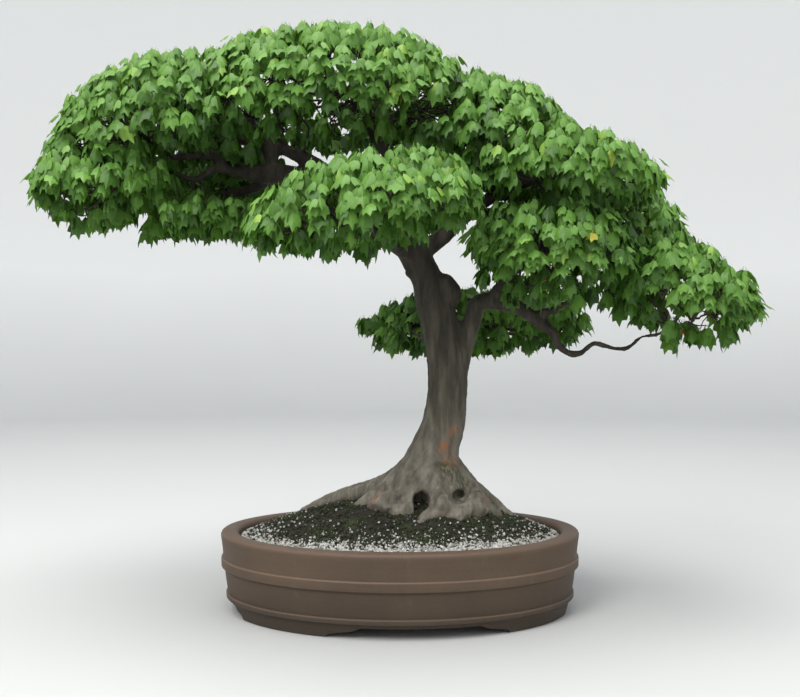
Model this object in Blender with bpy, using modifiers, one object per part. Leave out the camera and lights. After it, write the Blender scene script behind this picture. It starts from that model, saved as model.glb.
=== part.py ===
"""Trident maple bonsai in an oval stoneware pot.

The wood of the tree is one solid that grew as one piece. The pot, the drain screens with their
wire clips, the soil, the moss, the grit and each branch's mass of leaves are solids of their own.
+X is the tree's right, +Y its back and +Z up, with the origin on the ground under its middle.
"""

from math import pi, radians

import bmesh
import bpy
from mathutils import Matrix, Vector, noise

MM = 0.001

# Pot: a tapering oval with a flat lip, two raised bands and four bracket feet.
POT_HALF_LENGTH = 250 * MM
POT_HALF_WIDTH = 187.5 * MM
POT_CENTRE = (0.0, 0.0)
FOOT_HEIGHT = 14.5 * MM
FLOOR_TOP = 27 * MM
LIP_INSET = 25 * MM
FILL_INSET = 26 * MM
OVAL_SIDES = 32
FOOT_GAP_CREST = FOOT_HEIGHT - 0.7 * MM
FRONT_GAP_HALF = 113 * MM
END_GAP_HALF = 62 * MM
FRONT_GAP_TURN = radians(7)
END_GAP_TURN = radians(4)
FOOT_GAP_REACH = 0.3
DRAIN_CUT_DEPTH = 50 * MM

# Drain holes and what covers them.
DRAIN_X = 110 * MM
DRAIN_RADIUS = 16 * MM
SCREEN_SIDE = 52 * MM
SCREEN_THICK = 1.5 * MM
MESH_PITCH = 12 * MM
MESH_OPENING = 9 * MM
CLIP_RADIUS = 1 * MM

# Ground: a low mound, highest near the trunk.
RIM_LEVEL = 99 * MM
MOUND_RISE = 50 * MM
COVER_THICK = 6 * MM
MOSS_CENTRE = (-12 * MM, 8 * MM)
MOSS_HALF_LENGTH = 203 * MM
MOSS_HALF_WIDTH = 142 * MM

# Gaps between neighbours.
GAP = 0.3 * MM
LAYER_GAP = 1.0 * MM
WOOD_GAP = 4 * MM
LEAF_GAP = 0.8 * MM

# Wood: voxel size while the limbs are merged, and the share of faces kept afterwards.
VOXEL = 3.2 * MM
WOOD_FACES = 3300
CUTTER_SHARE = 0.05

# Each limb is a list of (x, y, z, radius) in millimetres from its thick end to its tip.
TRUNK = [
    (48, 6, 84, 44), (48, 2, 128, 58), (47, 0, 165, 57), (43, 0, 186, 49), (46, 0, 206, 39),
    (52, 0, 230, 32), (61, 0, 258, 29), (66, 0, 290, 27.5), (67, 0, 330, 28), (62, 0, 366, 27.5),
    (54, 0, 405, 26), (44, 0, 437, 24), (37, -1, 460, 22), (24, -2, 486, 21.5), (8, -5, 512, 22),
    (-20, -8, 522, 20), (-47, -8, 531, 19), (-72, -5, 566, 17.5), (-100, -2, 586, 16.5),
    (-126, 0, 598, 16), (-171, 0, 608, 15), (-184, 0, 612, 13),
]
ROOTS = [
    [(34, -5, 190, 30), (-2, -12, 164, 22), (-34, -17, 149, 14), (-60, -20, 138, 8), (-76, -22, 128, 5)],
    [(28, 8, 184, 26), (-21, 20, 161, 17), (-66, 42, 151, 11), (-102, 56, 139, 9), (-146, 68, 120, 6)],
    [(34, -18, 184, 24), (16, -46, 158, 15), (6, -64, 140, 9), (0, -74, 126, 5)],
    [(48, -22, 186, 24), (50, -50, 162, 15), (45, -68, 145, 10), (32, -84, 137, 7), (21, -92, 128, 4.5)],
    [(60, -22, 184, 24), (72, -46, 158, 14), (82, -60, 144, 9), (88, -70, 131, 5)],
    [(66, -8, 186, 24), (96, -22, 158, 15), (120, -32, 143, 9), (138, -38, 130, 5)],
    [(66, 4, 184, 24), (104, 4, 155, 14), (138, 0, 138, 8), (158, -4, 124, 5)],
    [(62, 18, 184, 25), (94, 48, 154, 14), (120, 72, 138, 8), (136, 86, 124, 5)],
    [(48, 24, 184, 25), (46, 66, 156, 16), (40, 102, 138, 8), (36, 122, 126, 5)],
    [(34, 20, 180, 22), (4, 60, 154, 13), (-22, 88, 138, 8), (-40, 104, 126, 5)],
]
RIGHT_LIMB = [
    (72, 0, 318, 20), (84, 0, 348, 16.5), (92, 0, 376, 14), (101, -2, 402, 12.5), (109, -4, 424, 12),
    (136, -6, 428, 11.5), (168, -10, 418, 10.5), (191, -15, 400, 9.5), (212, -20, 384, 8.5),
    (220, -22, 366, 8), (245, -25, 354, 6.8), (267, -28, 370, 6), (292, -30, 363, 5.4),
    (313, -30, 363, 5), (332, -31, 379, 4.8), (358, -33, 383, 4.6), (370, -34, 396, 4.4),
    (384, -36, 390, 4.2), (404, -38, 404, 4),
]
BRANCHES = [
    # upper limb of the left crown, above the window between the two
    [
        (-72, -4, 570, 15), (-112, 4, 614, 12.5), (-157, 9, 640, 10.5), (-198, 14, 650, 9),
        (-252, 20, 662, 6.5), (-300, 24, 676, 4.5),
    ],
    # long left limb
    [
        (-150, 0, 604, 15), (-185, -2, 607, 13), (-238, -8, 614, 10.5), (-262, -14, 631, 9),
        (-289, -20, 629, 8), (-312, -26, 626, 7), (-334, -32, 640, 5.5), (-352, -36, 652, 4.2),
    ],
    # middle left limb
    [
        (-160, -2, 602, 13), (-205, -10, 602, 10), (-254, -22, 611, 8), (-282, -30, 594, 6.8),
        (-312, -38, 603, 5.6), (-345, -46, 598, 4.6), (-390, -52, 590, 3.8),
    ],
    # low left limb
    [(-172, 4, 606, 12), (-217, 20, 587, 9.5), (-262, 28, 577, 7.5), (-306, 30, 564, 5.5), (-344, 26, 560, 4)],
    # left back limb
    [(-64, 0, 560, 14), (-120, 60, 594, 10), (-190, 124, 606, 7.5), (-262, 172, 612, 5)],
    # rising limbs of the dome
    [(-176, 2, 610, 12), (-190, 10, 650, 10), (-214, 16, 690, 7), (-222, 20, 722, 5)],
    [(10, -4, 508, 19), (18, 10, 552, 16), (4, 16, 604, 13), (-38, 14, 672, 10), (-72, 12, 732, 6)],
    [(12, 12, 588, 13), (52, 18, 630, 9), (96, 16, 662, 6.5), (136, 14, 682, 4.5)],
    # right upper limb
    [
        (20, -2, 498, 16), (52, -4, 512, 12), (92, -16, 548, 10), (146, -34, 580, 8),
        (200, -48, 594, 6), (260, -54, 600, 4.2),
    ],
    # right back limb
    [(92, -12, 548, 9), (150, 34, 556, 7.5), (226, 78, 554, 6), (300, 104, 552, 4.2)],
    # front limb
    [(8, -12, 500, 15), (-10, -62, 506, 11), (-30, -122, 520, 8.5), (-48, -186, 530, 5.5)],
    # back limb
    [(10, 4, 512, 14), (0, 74, 548, 10), (-14, 142, 578, 7.5), (-26, 206, 596, 5)],
    # limbs into the low right leaves
    [(128, -6, 430, 10), (150, -28, 462, 7.5), (178, -48, 490, 5.5), (206, -60, 504, 4)],
    [(180, -14, 408, 8), (204, -16, 413, 6.6), (242, -20, 430, 5.6), (280, -26, 441, 5), (330, -34, 450, 4.2)],
    # low back limb and its fork
    [(60, 12, 336, 16), (60, 52, 362, 11), (72, 108, 380, 8.5), (112, 168, 392, 6), (150, 196, 398, 4.4)],
    [(64, 80, 370, 8.5), (24, 132, 384, 6.5), (-16, 172, 392, 4.6)],
    # dead stub on the left of the trunk
    [(38, -6, 452, 12), (18, -10, 464, 7.5), (8, -12, 470, 6)],
]
# (centre x, y, z), (half sizes x, y, z) of swellings on the trunk.
SWELLINGS = [
    ((70, -4, 438), (17, 16, 19)), ((62, -4, 452), (15, 14, 16)), ((80, -2, 350), (20, 20, 26)),
    ((-176, 0, 608), (20, 14, 14)), ((64, -26, 200), (11, 9, 13)), ((34, -30, 196), (9, 8, 9)),
]
# Hollows worn into the front of the root flare, as above.
HOLLOWS = [
    ((29, -56, 156), (13.5, 30, 15)), ((81, -52, 163), (11, 26, 8.5)),
]
ROOT_GIRTH = 1.22

# Leaf masses: name, centre, half length, half width, rise, drop in millimetres, lean in degrees.
LEAF_MASSES = [
    ("leaves_crown_top", (-102, 4, 702), 226, 190, 115, 52, 0),
    ("leaves_crown_left", (-312, 0, 666), 180, 168, 112, 38, -10),
    ("leaves_crown_right", (118, 12, 660), 134, 152, 92, 46, 6),
    ("leaves_front", (-40, -190, 534), 160, 114, 78, 46, -9),
    ("leaves_right_upper", (222, -56, 602), 144, 142, 66, 46, 5),
    ("leaves_right_low", (198, -66, 502), 120, 126, 72, 78, 2),
    ("leaves_right_tip", (378, -42, 448), 118, 118, 70, 66, 20),
    ("leaves_right_back", (326, 112, 550), 112, 116, 72, 50, 11),
    ("leaves_left_tip", (-398, -44, 592), 104, 130, 58, 60, -4),
    ("leaves_left_low", (-276, -6, 554), 98, 94, 28, 34, 0),
    ("leaves_left_back", (-268, 172, 606), 142, 118, 66, 56, 0),
    ("leaves_back", (-30, 202, 600), 146, 106, 66, 58, 0),
    ("leaves_back_low", (126, 190, 400), 194, 92, 64, 46, -2),
]
LEAF_COLUMNS = 14
LEAF_ROWS = 7
LOBE_SIZE = 90 * MM
LOBE_DEPTH = 0.10

BARK = (0.19, 0.16, 0.12)
LEAF = (0.11, 0.29, 0.05)
STONEWARE = (0.15, 0.095, 0.068)
SOIL = (0.05, 0.035, 0.022)
MOSS = (0.03, 0.04, 0.016)
GRIT = (0.55, 0.54, 0.50)
BLACK_MESH = (0.02, 0.02, 0.02)
CLIP_METAL = (0.55, 0.56, 0.58)


def clear_scene():
    for found in list(bpy.data.objects):
        bpy.data.objects.remove(found, do_unlink=True)


def material(name, colour, roughness, metallic=0.0):
    made = bpy.data.materials.get(name) or bpy.data.materials.new(name)
    made.use_nodes = True
    shader = made.node_tree.nodes["Principled BSDF"]
    shader.inputs["Base Color"].default_value = (*colour, 1.0)
    shader.inputs["Roughness"].default_value = roughness
    shader.inputs["Metallic"].default_value = metallic
    return made


def add_object(name, bm, smooth=True):
    """Turns a bmesh into an object in the tree's collection."""
    if smooth:
        bmesh.ops.triangulate(bm, faces=bm.faces)
    bmesh.ops.recalc_face_normals(bm, faces=bm.faces)
    mesh = bpy.data.meshes.new(name)
    bm.to_mesh(mesh)
    bm.free()
    if smooth:
        mesh.shade_smooth()
        mesh.set_sharp_from_angle(angle=radians(35))
    made = bpy.data.objects.new(name, mesh)
    tree_parts.objects.link(made)
    return made


def wear(thing, finish):
    thing.data.materials.clear()
    thing.data.materials.append(finish)


def evaluated_mesh(thing):
    bpy.context.view_layer.update()
    depsgraph = bpy.context.evaluated_depsgraph_get()
    return bpy.data.meshes.new_from_object(thing.evaluated_get(depsgraph))


def largest_island(mesh):
    """Drops the crumbs that a cut can leave, so that one closed body remains."""
    bm = bmesh.new()
    bm.from_mesh(mesh)
    unseen = set(bm.faces)
    islands = []
    while unseen:
        reached = [unseen.pop()]
        island = set(reached)
        while reached:
            for edge in reached.pop().edges:
                for face in edge.link_faces:
                    if face in unseen:
                        unseen.discard(face)
                        island.add(face)
                        reached.append(face)
        islands.append(island)
    keep = max(islands, key=len)
    bmesh.ops.delete(bm, geom=[f for f in bm.faces if f not in keep], context="FACES")
    bm.to_mesh(mesh)
    bm.free()


def carve(thing, cutters):
    """Cuts the cutters out of a solid and settles the result into its mesh."""
    for cutter in cutters:
        cut = thing.modifiers.new("cut", "BOOLEAN")
        cut.operation = "DIFFERENCE"
        cut.solver = "EXACT"
        cut.object = cutter
    mesh = evaluated_mesh(thing)
    thing.modifiers.clear()
    largest_island(mesh)
    thing.data = mesh


def place_ring(ring, old, new):
    """Moves a ring of vertices from one oval to the next. A height may be a function of x and y."""
    old_length, old_width, _, old_centre = old
    new_length, new_width, height, new_centre = new
    for vertex in ring:
        x = new_centre[0] + (vertex.co.x - old_centre[0]) / old_length * new_length
        y = new_centre[1] + (vertex.co.y - old_centre[1]) / old_width * new_width
        vertex.co = (x, y, height(x, y) if callable(height) else height)


def stack(ovals, closed=False):
    """Skins a run of ovals. The ends are capped, or joined to each other if closed."""
    bm = bmesh.new()
    ring = bmesh.ops.create_circle(bm, segments=OVAL_SIDES, radius=1.0)["verts"]
    edges = bm.edges[:]
    last = (1.0, 1.0, 0.0, (0.0, 0.0))
    place_ring(ring, last, ovals[0])
    last = ovals[0]
    for oval in ovals[1:] + (ovals[:1] if closed else []):
        grown = bmesh.ops.extrude_edge_only(bm, edges=edges)["geom"]
        edges = [e for e in grown if isinstance(e, bmesh.types.BMEdge)]
        place_ring([v for v in grown if isinstance(v, bmesh.types.BMVert)], last, oval)
        last = oval
    if closed:
        bmesh.ops.remove_doubles(bm, verts=bm.verts, dist=0.000001)
    else:
        ends = [e for e in bm.edges if e.is_boundary]
        bmesh.ops.holes_fill(bm, edges=ends, sides=OVAL_SIDES)
    return bm


def pot_oval(inset, height):
    return (POT_HALF_LENGTH - inset, POT_HALF_WIDTH - inset, height, POT_CENTRE)


def extruded_outline(name, points, half_depth, turn):
    """A flat outline in X and Z, extruded both ways along Y and then turned about Z."""
    bm = bmesh.new()
    near = [bm.verts.new((x, -half_depth, z)) for x, z in points]
    face = bm.faces.new(near)
    moved = bmesh.ops.extrude_face_region(bm, geom=[face])["geom"]
    far = [v for v in moved if isinstance(v, bmesh.types.BMVert)]
    bmesh.ops.translate(bm, verts=far, vec=(0, 2 * half_depth, 0))
    bmesh.ops.rotate(bm, verts=bm.verts, cent=(0, 0, 0), matrix=Matrix.Rotation(turn, 3, "Z"))
    return add_object(name, bm, smooth=False)


def foot_gap(name, half_gap, half_depth, turn):
    """The gap between two feet, whose sides sweep up in an ogee."""
    ogee = [(1.0, -0.2), (1.0, 0.0), (0.97, 0.3), (0.86, 0.5), (0.76, 0.66), (0.69, 0.86), (0.65, 1.0)]
    side = [(x * half_gap, z * FOOT_GAP_CREST) for x, z in ogee]
    outline = side + [(-x, z) for x, z in reversed(side)]
    return extruded_outline(name, outline, half_depth, turn)


def build_pot():
    profile = [
        (38, 14.5), (37, 0), (15.5, 0), (14.2, 12), (14, 15), (11, 18.6), (7.4, 20), (7, 26.2),
        (9.4, 27.4), (6.8, 44), (4.8, 60.6), (0, 62.2), (-0.4, 73.8), (0.4, 75), (2.4, 76), (2, 88),
        (0.6, 100), (0.9, 106.5), (4, 109.4), (7, 110), (18, 110), (22, 109), (24.4, 106), (25, 98),
        (27, 70), (31, 34), (36, 27),
    ]
    pot = add_object("pot", stack([pot_oval(inset * MM, z * MM) for inset, z in profile]))
    gaps = [
        foot_gap("front_gap", FRONT_GAP_HALF, FOOT_GAP_REACH, FRONT_GAP_TURN),
        foot_gap("end_gap", END_GAP_HALF, FOOT_GAP_REACH, END_GAP_TURN + pi / 2),
    ]
    for side in (-1, 1):
        bm = bmesh.new()
        bmesh.ops.create_cone(
            bm, cap_ends=True, segments=20, radius1=DRAIN_RADIUS, radius2=DRAIN_RADIUS, depth=DRAIN_CUT_DEPTH
        )
        bmesh.ops.translate(bm, verts=bm.verts, vec=(side * DRAIN_X, 0, FLOOR_TOP - 0.01))
        gaps.append(add_object("drain_hole", bm))
    carve(pot, gaps)
    for gap in gaps:
        bpy.data.objects.remove(gap, do_unlink=True)
    wear(pot, material("stoneware", STONEWARE, 0.75))
    return pot


def box(name, centre, size):
    bm = bmesh.new()
    bmesh.ops.create_cube(bm, size=1.0)
    bmesh.ops.scale(bm, verts=bm.verts, vec=size)
    bmesh.ops.translate(bm, verts=bm.verts, vec=centre)
    return add_object(name, bm, smooth=False)


def build_drain_screen(name, x):
    """A square of plastic mesh laid over a drain hole."""
    middle = FLOOR_TOP + GAP + SCREEN_THICK / 2
    screen = box(name, (x, 0, middle), (SCREEN_SIDE, SCREEN_SIDE, SCREEN_THICK))
    openings = []
    for column in range(4):
        for row in range(4):
            place = (x + (column - 1.5) * MESH_PITCH, (row - 1.5) * MESH_PITCH, middle)
            openings.append(box("opening", place, (MESH_OPENING, MESH_OPENING, 4 * SCREEN_THICK)))
    carve(screen, openings)
    for opening in openings:
        bpy.data.objects.remove(opening, do_unlink=True)
    wear(screen, material("mesh_plastic", BLACK_MESH, 0.6))


def build_clip(name, x):
    """A staple of wire over the screen, its legs bent outwards under the pot's floor."""
    top = FLOOR_TOP + GAP + SCREEN_THICK + CLIP_RADIUS + GAP
    under = FOOT_HEIGHT - CLIP_RADIUS - 2 * GAP
    leg = 6 * MM
    foot = 24 * MM
    route = [(-foot, under), (-leg - 1 * MM, under), (-leg, under + 1 * MM), (-leg, top - 1 * MM)]
    route += [(-leg + 1 * MM, top)]
    route += [(-px, pz) for px, pz in reversed(route)]
    curve = bpy.data.curves.new(name, "CURVE")
    curve.dimensions = "3D"
    curve.bevel_depth = CLIP_RADIUS
    curve.bevel_resolution = 2
    curve.use_fill_caps = True
    spline = curve.splines.new("POLY")
    spline.points.add(len(route) - 1)
    for point, (px, pz) in zip(spline.points, route):
        point.co = (x + px, leg, pz, 1.0)
    clip = bpy.data.objects.new(name, curve)
    tree_parts.objects.link(clip)
    wear(clip, material("clip_wire", CLIP_METAL, 0.35, 1.0))


def ground(x, y):
    """Height of the planted surface: a mound that falls to the rim."""
    inner_length = POT_HALF_LENGTH - LIP_INSET
    inner_width = POT_HALF_WIDTH - LIP_INSET
    out = min(1.0, (x / inner_length) ** 2 + (y / inner_width) ** 2)
    return RIM_LEVEL + MOUND_RISE * (1.0 - out)


def soil_top(x, y):
    return ground(x, y) - COVER_THICK


def cover_base(x, y):
    return soil_top(x, y) + LAYER_GAP


def moss_top(x, y):
    return ground(x, y) + 1.5 * MM


def moss_oval(share, height, grow=0.0):
    """An oval inside the moss, at a share of its full size."""
    return (MOSS_HALF_LENGTH * share + grow, MOSS_HALF_WIDTH * share + grow, height, MOSS_CENTRE)


MOSS_SHARES = (1.0, 0.76, 0.5, 0.25)


def build_soil(wood_cutter):
    wall_gap = 0.6 * MM
    rings = [pot_oval(36.5 * MM + wall_gap, FLOOR_TOP + GAP), pot_oval(31.2 * MM + wall_gap, 34 * MM)]
    rings += [pot_oval(27.2 * MM + wall_gap, 70 * MM), pot_oval(FILL_INSET, soil_top)]
    rings += [moss_oval(share, soil_top) for share in MOSS_SHARES]
    soil = add_object("soil", stack(rings))
    lid = FLOOR_TOP + GAP + SCREEN_THICK + 2 * CLIP_RADIUS + 3 * GAP
    side = SCREEN_SIDE + 2 * GAP
    pockets = [
        box("pocket", (x, 0, lid / 2), (side, side, lid)) for x in (-DRAIN_X, DRAIN_X)
    ]
    carve(soil, pockets + [wood_cutter])
    for pocket in pockets:
        bpy.data.objects.remove(pocket, do_unlink=True)
    wear(soil, material("soil", SOIL, 0.95))


def build_covers(wood_cutter):
    """Moss on the mound, and a band of pale grit between it and the pot's wall."""
    rings = [moss_oval(share, cover_base) for share in reversed(MOSS_SHARES)]
    rings += [moss_oval(share, moss_top) for share in MOSS_SHARES]
    moss = add_object("moss", stack(rings))
    carve(moss, [wood_cutter])
    wear(moss, material("moss", MOSS, 0.95))

    rings = [pot_oval(FILL_INSET, cover_base), pot_oval(FILL_INSET, ground)]
    rings += [moss_oval(1.0, ground, grow=0.5 * MM), moss_oval(1.0, cover_base, grow=0.5 * MM)]
    grit = add_object("grit", stack(rings, closed=True))
    wear(grit, material("grit", GRIT, 0.9))


def limb_mesh(points, girth=1.0):
    """A tapering round limb through the points, with its ends filled."""
    curve = bpy.data.curves.new("limb", "CURVE")
    curve.dimensions = "3D"
    curve.bevel_depth = 1.0
    curve.bevel_resolution = 3
    curve.resolution_u = 5
    curve.use_fill_caps = True
    spline = curve.splines.new("BEZIER")
    spline.bezier_points.add(len(points) - 1)
    for knot, (x, y, z, radius) in zip(spline.bezier_points, points):
        knot.co = Vector((x, y, z)) * MM
        knot.radius = radius * girth * MM
        knot.handle_left_type = "AUTO"
        knot.handle_right_type = "AUTO"
    limb = bpy.data.objects.new("limb", curve)
    tree_parts.objects.link(limb)
    mesh = evaluated_mesh(limb)
    bpy.data.objects.remove(limb, do_unlink=True)
    return mesh


def add_ellipsoid(bm, centre, half_sizes):
    shape = Matrix.Translation(Vector(centre) * MM) @ Matrix.Diagonal((*(Vector(half_sizes) * MM), 1.0))
    bmesh.ops.create_icosphere(bm, subdivisions=3, radius=1.0, matrix=shape)


def build_wood():
    """Trunk, roots and limbs, merged into one skin as they grew."""
    bm = bmesh.new()
    for points in [TRUNK, RIGHT_LIMB, *BRANCHES]:
        bm.from_mesh(limb_mesh(points))
    for points in ROOTS:
        bm.from_mesh(limb_mesh(points, girth=ROOT_GIRTH))
    bmesh.ops.remove_doubles(bm, verts=bm.verts, dist=0.00001)
    for centre, half_sizes in SWELLINGS:
        add_ellipsoid(bm, centre, half_sizes)
    wood = add_object("wood", bm)
    merge = wood.modifiers.new("merge", "REMESH")
    merge.mode = "VOXEL"
    merge.voxel_size = VOXEL

    bm = bmesh.new()
    for centre, half_sizes in HOLLOWS:
        add_ellipsoid(bm, centre, half_sizes)
    hollows = add_object("hollows", bm)
    carve(wood, [hollows])
    bpy.data.objects.remove(hollows, do_unlink=True)

    thin = wood.modifiers.new("thin", "DECIMATE")
    thin.ratio = WOOD_FACES / sum(len(face.vertices) - 2 for face in wood.data.polygons)
    mesh = evaluated_mesh(wood)
    wood.modifiers.clear()
    largest_island(mesh)
    mesh.shade_smooth()
    wood.data = mesh
    wear(wood, material("bark", BARK, 0.85))
    return wood


def grown_copy(thing, amount):
    """A copy swollen by the amount and skinned afresh, to cut a neighbour with a gap."""
    copy = bpy.data.objects.new("cutter", thing.data.copy())
    cutters.objects.link(copy)
    swell = copy.modifiers.new("swell", "DISPLACE")
    swell.strength = amount
    swell.mid_level = 0.0
    skin = copy.modifiers.new("skin", "REMESH")
    skin.mode = "VOXEL"
    skin.voxel_size = VOXEL
    thin = copy.modifiers.new("thin", "DECIMATE")
    thin.ratio = CUTTER_SHARE
    copy.data = evaluated_mesh(copy)
    copy.modifiers.clear()
    copy.hide_render = True
    copy.display_type = "WIRE"
    return copy


def leaf_mass(name, centre, half_length, half_width, rise, drop, lean, grow=0.0):
    """A lobed cushion, domed above and flatter below."""
    bm = bmesh.new()
    bmesh.ops.create_uvsphere(bm, u_segments=LEAF_COLUMNS, v_segments=LEAF_ROWS, radius=1.0)
    middle = Vector(centre) * MM
    tilt = Matrix.Rotation(radians(lean), 3, "Y")
    for vertex in bm.verts:
        way = vertex.co.copy()
        depth = (rise if way.z > 0 else drop) * MM
        size = Vector((half_length * MM + grow, half_width * MM + grow, depth + grow))
        place = tilt @ Vector((way.x * size.x, way.y * size.y, way.z * size.z))
        lobe = noise.noise((place + middle) / LOBE_SIZE)
        vertex.co = middle + place * (1.0 + LOBE_DEPTH * lobe)
    return add_object(name, bm)


def build_leaves(wood_cutter):
    """Each branch's leaves. A mass gives way to those before it and to the wood."""
    finish = material("leaves", LEAF, 0.5)
    neighbours = []
    for name, centre, half_length, half_width, rise, drop, lean in LEAF_MASSES:
        mass = leaf_mass(name, centre, half_length, half_width, rise, drop, lean)
        swollen = leaf_mass("swollen", centre, half_length, half_width, rise, drop, lean, grow=LEAF_GAP)
        reach = (Vector(centre) * MM, Vector((half_length, half_width, max(rise, drop))) * MM)
        near = [
            other
            for other, (place, size) in neighbours
            if all(abs(place[i] - reach[0][i]) < (size[i] + reach[1][i]) * 1.1 for i in range(3))
        ]
        carve(mass, [*near, wood_cutter])
        wear(mass, finish)
        neighbours.append((swollen, reach))
    for swollen, _ in neighbours:
        bpy.data.objects.remove(swollen, do_unlink=True)


clear_scene()
tree_parts = bpy.data.collections.new("bonsai_tree")
cutters = bpy.data.collections.new("cutters")
bpy.context.scene.collection.children.link(tree_parts)
bpy.context.scene.collection.children.link(cutters)

build_pot()
for side_name, drain_x in (("left", -DRAIN_X), ("right", DRAIN_X)):
    build_drain_screen(f"drain_screen_{side_name}", drain_x)
    build_clip(f"screen_clip_{side_name}", drain_x)
wood_solid = build_wood()
wood_shape = grown_copy(wood_solid, WOOD_GAP)
build_soil(wood_shape)
build_covers(wood_shape)
build_leaves(wood_shape)
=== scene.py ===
# %% [markdown]
# # A trident maple bonsai in its oval pot
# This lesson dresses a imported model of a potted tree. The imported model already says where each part
# sits. Every part that shows gets a finer mesh here: a skin of bark, fine twigs, separate leaves,
# moss, grit and an unglazed clay pot.

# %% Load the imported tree
from math import cos, pi, radians, sin

import bmesh
import bpy
import numpy as np
from mathutils import Matrix, Vector, noise
from mathutils.bvhtree import BVHTree
from mathutils.kdtree import KDTree


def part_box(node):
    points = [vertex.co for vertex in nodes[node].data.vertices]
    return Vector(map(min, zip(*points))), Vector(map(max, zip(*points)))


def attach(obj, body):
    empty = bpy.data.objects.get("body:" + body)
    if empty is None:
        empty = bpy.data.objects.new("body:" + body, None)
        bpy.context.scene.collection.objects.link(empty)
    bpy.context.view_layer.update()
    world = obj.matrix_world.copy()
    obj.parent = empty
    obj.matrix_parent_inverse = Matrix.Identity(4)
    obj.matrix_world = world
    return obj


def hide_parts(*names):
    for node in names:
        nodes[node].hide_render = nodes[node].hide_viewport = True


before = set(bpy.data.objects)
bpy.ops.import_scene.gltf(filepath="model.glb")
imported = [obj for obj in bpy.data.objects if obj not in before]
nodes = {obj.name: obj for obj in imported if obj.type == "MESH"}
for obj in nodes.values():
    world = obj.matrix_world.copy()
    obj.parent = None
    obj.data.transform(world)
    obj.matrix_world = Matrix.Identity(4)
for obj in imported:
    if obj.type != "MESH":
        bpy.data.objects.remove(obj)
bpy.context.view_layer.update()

MM = 0.001

# %% [markdown]
# ## Helpers
# Most pieces end the same way: a bmesh becomes an object at the world's origin, wears one material and
# rides on the tree's only body. One helper does all of it.


# %% Finish a piece
def linked(name, data):
    """A new object at the origin, in the scene."""
    made = bpy.data.objects.new(name, data)
    bpy.context.scene.collection.objects.link(made)
    return made


def finish_piece(name, mesh, material, replaces=(), smooth=True):
    """Makes the piece's object, and hides the imported parts that it stands for."""
    mesh.name = name
    if smooth:
        mesh.shade_smooth()
    piece = linked(name, mesh)
    mesh.materials.clear()
    mesh.materials.append(material)
    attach(piece, "root")
    if replaces:
        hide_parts(*replaces)
    print(f"{name}: {len(mesh.polygons)} faces")
    return piece


def mesh_from(bm, name):
    """Empties a bmesh into a new mesh."""
    mesh = bpy.data.meshes.new(name)
    bm.to_mesh(mesh)
    bm.free()
    return mesh


def evaluated(mesh, *modifiers):
    """Runs a mesh through modifiers, each a type and its settings, and returns the result."""
    work = linked("work", mesh)
    for kind, settings in modifiers:
        modifier = work.modifiers.new(kind.lower(), kind)
        for key, value in settings.items():
            setattr(modifier, key, value)
    bpy.context.view_layer.update()
    depsgraph = bpy.context.evaluated_depsgraph_get()
    result = bpy.data.meshes.new_from_object(work.evaluated_get(depsgraph))
    bpy.data.objects.remove(work)
    return result


def merged_copy(node):
    """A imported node's mesh is loose triangles. This copy has them sewn together."""
    bm = bmesh.new()
    bm.from_mesh(nodes[node].data)
    bmesh.ops.remove_doubles(bm, verts=bm.verts, dist=0.00001)
    return mesh_from(bm, node + "_copy")


def vertex_array(mesh, name="co"):
    """The places or normals of a mesh's vertices, as an array of rows."""
    found = np.empty(len(mesh.vertices) * 3, np.float32)
    if name == "co":
        mesh.vertices.foreach_get("co", found)
    else:
        mesh.vertex_normals.foreach_get("vector", found)
    return found.reshape(-1, 3).astype(float)


def set_vertices(mesh, places):
    mesh.vertices.foreach_set("co", np.ascontiguousarray(places, np.float32).ravel())
    mesh.update()


# %% [markdown]
# ## Node helpers
# Procedural finishes are small networks of noise, colour ramps and bumps. These helpers keep each
# network down to a few lines, so that the colours and scales are easy to read.


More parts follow.
